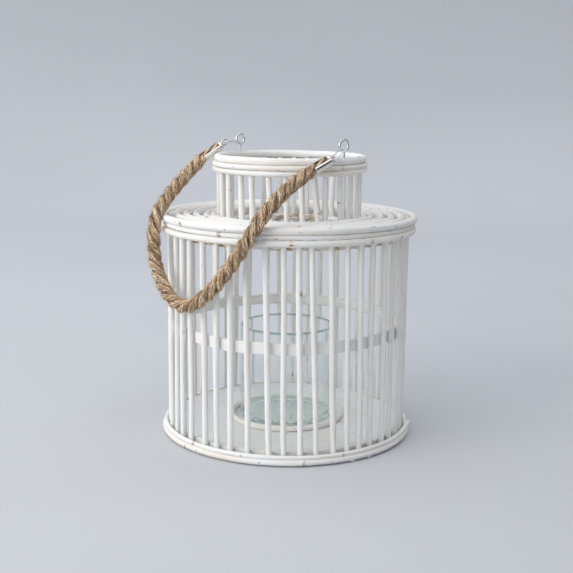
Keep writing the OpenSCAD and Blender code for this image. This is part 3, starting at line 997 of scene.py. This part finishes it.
def turned(profile, lip_z, foot_r, foot_z, steps=128):
    """A solid of revolution from (radius, height) points, marked at its lip and round its foot."""
    turn = np.linspace(0, 2 * math.pi, steps, endpoint=False)
    points = [(0, 0, profile[0][1])]
    marked = [0.0]
    for r, z in profile[1:-1]:
        marked += [1.0 if z > lip_z or (r > foot_r and z < foot_z) else 0.0] * steps
        points += [(r * math.cos(a), r * math.sin(a), z) for a in turn]
    points.append((0, 0, profile[-1][1]))
    rings = len(profile) - 2
    faces = [[0, 1 + (k + 1) % steps, 1 + k] for k in range(steps)]
    faces += grid_faces(rings, steps, first=1)
    last = len(points) - 1
    top = 1 + (rings - 1) * steps
    faces += [[last, top + k, top + (k + 1) % steps] for k in range(steps)]
    points = np.array(points)
    return points, faces, points.copy(), np.array([*marked, 0.0])


def glass_profile():
    """The tumbler's section: rounded foot, straight wall, fire-polished lip, dished inside."""
    base, top = glass_low.z, glass_high.z
    foot = [(glass_r - 0.003 + 0.003 * math.sin(a), base + 0.0032 - 0.003 * math.cos(a))
            for a in np.radians([0, 18, 36, 54, 72, 90])]
    half = GLASS_WALL / 2
    lip = [(glass_r - half + half * math.cos(a), top - half + half * math.sin(a))
           for a in np.radians([0, 30, 60, 90, 120, 150, 180])]
    inner = glass_r - GLASS_WALL
    bowl = [(inner - 0.005 + 0.005 * math.cos(a), base + GLASS_FLOOR + 0.005 - 0.005 * math.sin(a))
            for a in np.radians([0, 20, 40, 60, 80, 90])]
    walls = [(glass_r, base + z) for z in (0.0045, 0.03, 0.06)] + [(glass_r, top - LIP_TINT)]
    back = [(inner, top - LIP_TINT), (inner, base + 0.06), (inner, base + 0.03)]
    under = [(0, base + 0.0008), (0.034, base + 0.0007), (0.038, base + 0.0002)]
    floor = [(0.020, base + GLASS_FLOOR - 0.0004), (0, base + GLASS_FLOOR - 0.0006)]
    return [*under, *foot, *walls, *lip, *back, *bowl, *floor]


glass_material, nodes, links, shader = new_material(
    "clear glass", Roughness=0.0, IOR=1.25, Transmission_Weight=1.0, Coat_Weight=0.7, Coat_IOR=1.5,
    Coat_Roughness=0.0)
edge = nodes.new("ShaderNodeLayerWeight")
edge.inputs["Blend"].default_value = 0.5
green_edge = ramp(nodes, links, edge.outputs["Facing"], [
    (0.40, (0.975, 0.99, 0.985)), (0.72, (0.78, 0.88, 0.83)), (0.93, (0.30, 0.44, 0.36)),
])
lip_tint = combine(nodes, links, "MIX", green_edge, (0.40, 0.56, 0.48, 1),
                   attribute(nodes, "mark").outputs["Fac"])
links.new(lip_tint, shader.inputs["Base Color"])
place = nodes.new("ShaderNodeTexCoord").outputs["Object"]
ripple = stretched_noise(nodes, links, place, (28, 28, 9), 2)
bump(nodes, links, ripple, shader, 0.0008, 0.2)

# light goes through the thin wall to what stands behind it, with only a faint shadow, and a ray
# that has already bounced several times goes straight on
let_through = nodes.new("ShaderNodeBsdfTransparent")
let_through.inputs["Color"].default_value = (0.93, 0.965, 0.95, 1)
kind = nodes.new("ShaderNodeLightPath")
soft = reckon(nodes, links, "MAXIMUM", kind.outputs["Is Shadow Ray"], kind.outputs["Is Diffuse Ray"])
trapped = reckon(nodes, links, "GREATER_THAN", kind.outputs["Ray Depth"], TRAPPED_AFTER)
straight = reckon(nodes, links, "MAXIMUM", soft, trapped)
both = nodes.new("ShaderNodeMixShader")
links.new(straight, both.inputs["Fac"])
links.new(shader.outputs["BSDF"], both.inputs[1])
links.new(let_through.outputs["BSDF"], both.inputs[2])
links.new(both.outputs["Shader"], nodes["Material Output"].inputs["Surface"])
tumbler = turned(glass_profile(), glass_high.z - 0.0020, glass_r - 0.0030, glass_low.z + 0.0035)
piece("candle glass", [tumbler], glass_material, "glass", ["glass_cylinder"])

# --- Studio -------------------------------------------------------------------------------
# A pale blue-grey sweep of paper with painted shade that darkens it higher up, a large soft
# light high on the left and an even fill. Two black flags out of sight give the bright wire its
# dark outlines.
SWEEP_BACK = 1.5
SWEEP_R = 1.2
SWEEP_HALF = 4.0


def sweep():
    """Paper that runs under the lantern and curves up behind it."""
    outline = [(-3.0, 0.0), (0.0, 0.0), (SWEEP_BACK, 0.0)]
    curve = np.radians(range(6, 91, 6))
    outline += [(SWEEP_BACK + SWEEP_R * math.sin(a), SWEEP_R * (1 - math.cos(a))) for a in curve]
    outline.append((SWEEP_BACK + SWEEP_R, 5.0))
    points, faces = [], []
    for away, up in outline:
        points += [as_seen(-SWEEP_HALF, away, up), as_seen(SWEEP_HALF, away, up)]
    for i in range(len(outline) - 1):
        a = 2 * i
        faces.append([a, a + 1, a + 3, a + 2])
    mesh = bpy.data.meshes.new("paper sweep")
    mesh.from_pydata([tuple(q) for q in points], [], faces)
    mesh.shade_smooth()
    return mesh


paper_material, nodes, links, shader = new_material(
    "blue grey paper", Roughness=0.75, Specular_IOR_Level=0.2)
place = nodes.new("ShaderNodeTexCoord").outputs["Object"]
cloud = stretched_noise(nodes, links, place, (1.3, 1.3, 1.3), 2)
paper_tone = ramp(nodes, links, cloud, [(0.3, (0.590, 0.597, 0.618)), (0.7, (0.620, 0.627, 0.648))])
# painted shade: the paper's colour is darkened with height, to 0.93 at 0.12 m, 0.8 at 0.35 m and 0.73 from
# 0.7 m up, for light that falls off up the sweep
split = nodes.new("ShaderNodeSeparateXYZ")
links.new(place, split.inputs["Vector"])
rise = ramp(nodes, links, split.outputs["Z"], [
    (0.0, (1, 1, 1)), (0.12, (0.93, 0.93, 0.93)), (0.35, (0.80, 0.805, 0.81)),
    (0.7, (0.73, 0.735, 0.74)),
])
links.new(combine(nodes, links, "MULTIPLY", paper_tone, rise, 1.0), shader.inputs["Base Color"])
paper_mesh = sweep()
paper_mesh.materials.append(paper_material)
paper = bpy.data.objects.new("paper sweep", paper_mesh)
scene.collection.objects.link(paper)


def soft_light(name, place, size, power, colour):
    """A square soft box aimed at the lantern's middle."""
    data = bpy.data.lights.new(name, "AREA")
    data.size = size
    data.energy = power
    data.color = colour
    lamp = bpy.data.objects.new(name, data)
    lamp.location = place
    lamp.rotation_euler = (Vector((0, 0, 0.14)) - place).to_track_quat("-Z", "Y").to_euler()
    scene.collection.objects.link(lamp)


soft_light("key", as_seen(-2.2, -1.5, 1.2), 1.8, 30, (1.0, 0.965, 0.915))
soft_light("top", as_seen(0.2, 0.3, 2.6), 2.4, 4, (0.97, 0.98, 1.0))


def dark_card(name, place, width, height):
    """A black flag that keeps light off one side and gives bright metal its dark outlines."""
    mesh = bpy.data.meshes.new(name)
    corners = [(-width / 2, -height / 2, 0), (width / 2, -height / 2, 0), (width / 2, height / 2, 0),
               (-width / 2, height / 2, 0)]
    mesh.from_pydata(corners, [], [[0, 1, 2, 3]])
    mesh.materials.append(card_material)
    card = bpy.data.objects.new(name, mesh)
    turn = (Vector((0, 0, 0.2)) - place).to_track_quat("Z", "Y").to_matrix().to_4x4()
    card.matrix_world = Matrix.Translation(place) @ turn
    card.visible_camera = False
    card.visible_transmission = False
    scene.collection.objects.link(card)


card_material, nodes, links, shader = new_material("black cloth", Roughness=1.0, Specular_IOR_Level=0.0)
place = nodes.new("ShaderNodeTexCoord").outputs["Object"]
links.new(ramp(nodes, links, stretched_noise(nodes, links, place, (3, 3, 3), 2),
               [(0.3, (0.012, 0.012, 0.012)), (0.7, (0.02, 0.02, 0.02))]), shader.inputs["Base Color"])
dark_card("right flag", as_seen(1.7, -0.5, 0.8), 2.2, 1.5)
dark_card("front flag", as_seen(0.35, -2.2, 0.9), 1.5, 1.7)

world = bpy.data.worlds.new("studio")
world.use_nodes = True
world.node_tree.nodes["Background"].inputs["Color"].default_value = (0.90, 0.94, 1.0, 1)
world.node_tree.nodes["Background"].inputs["Strength"].default_value = 1.16
scene.world = world
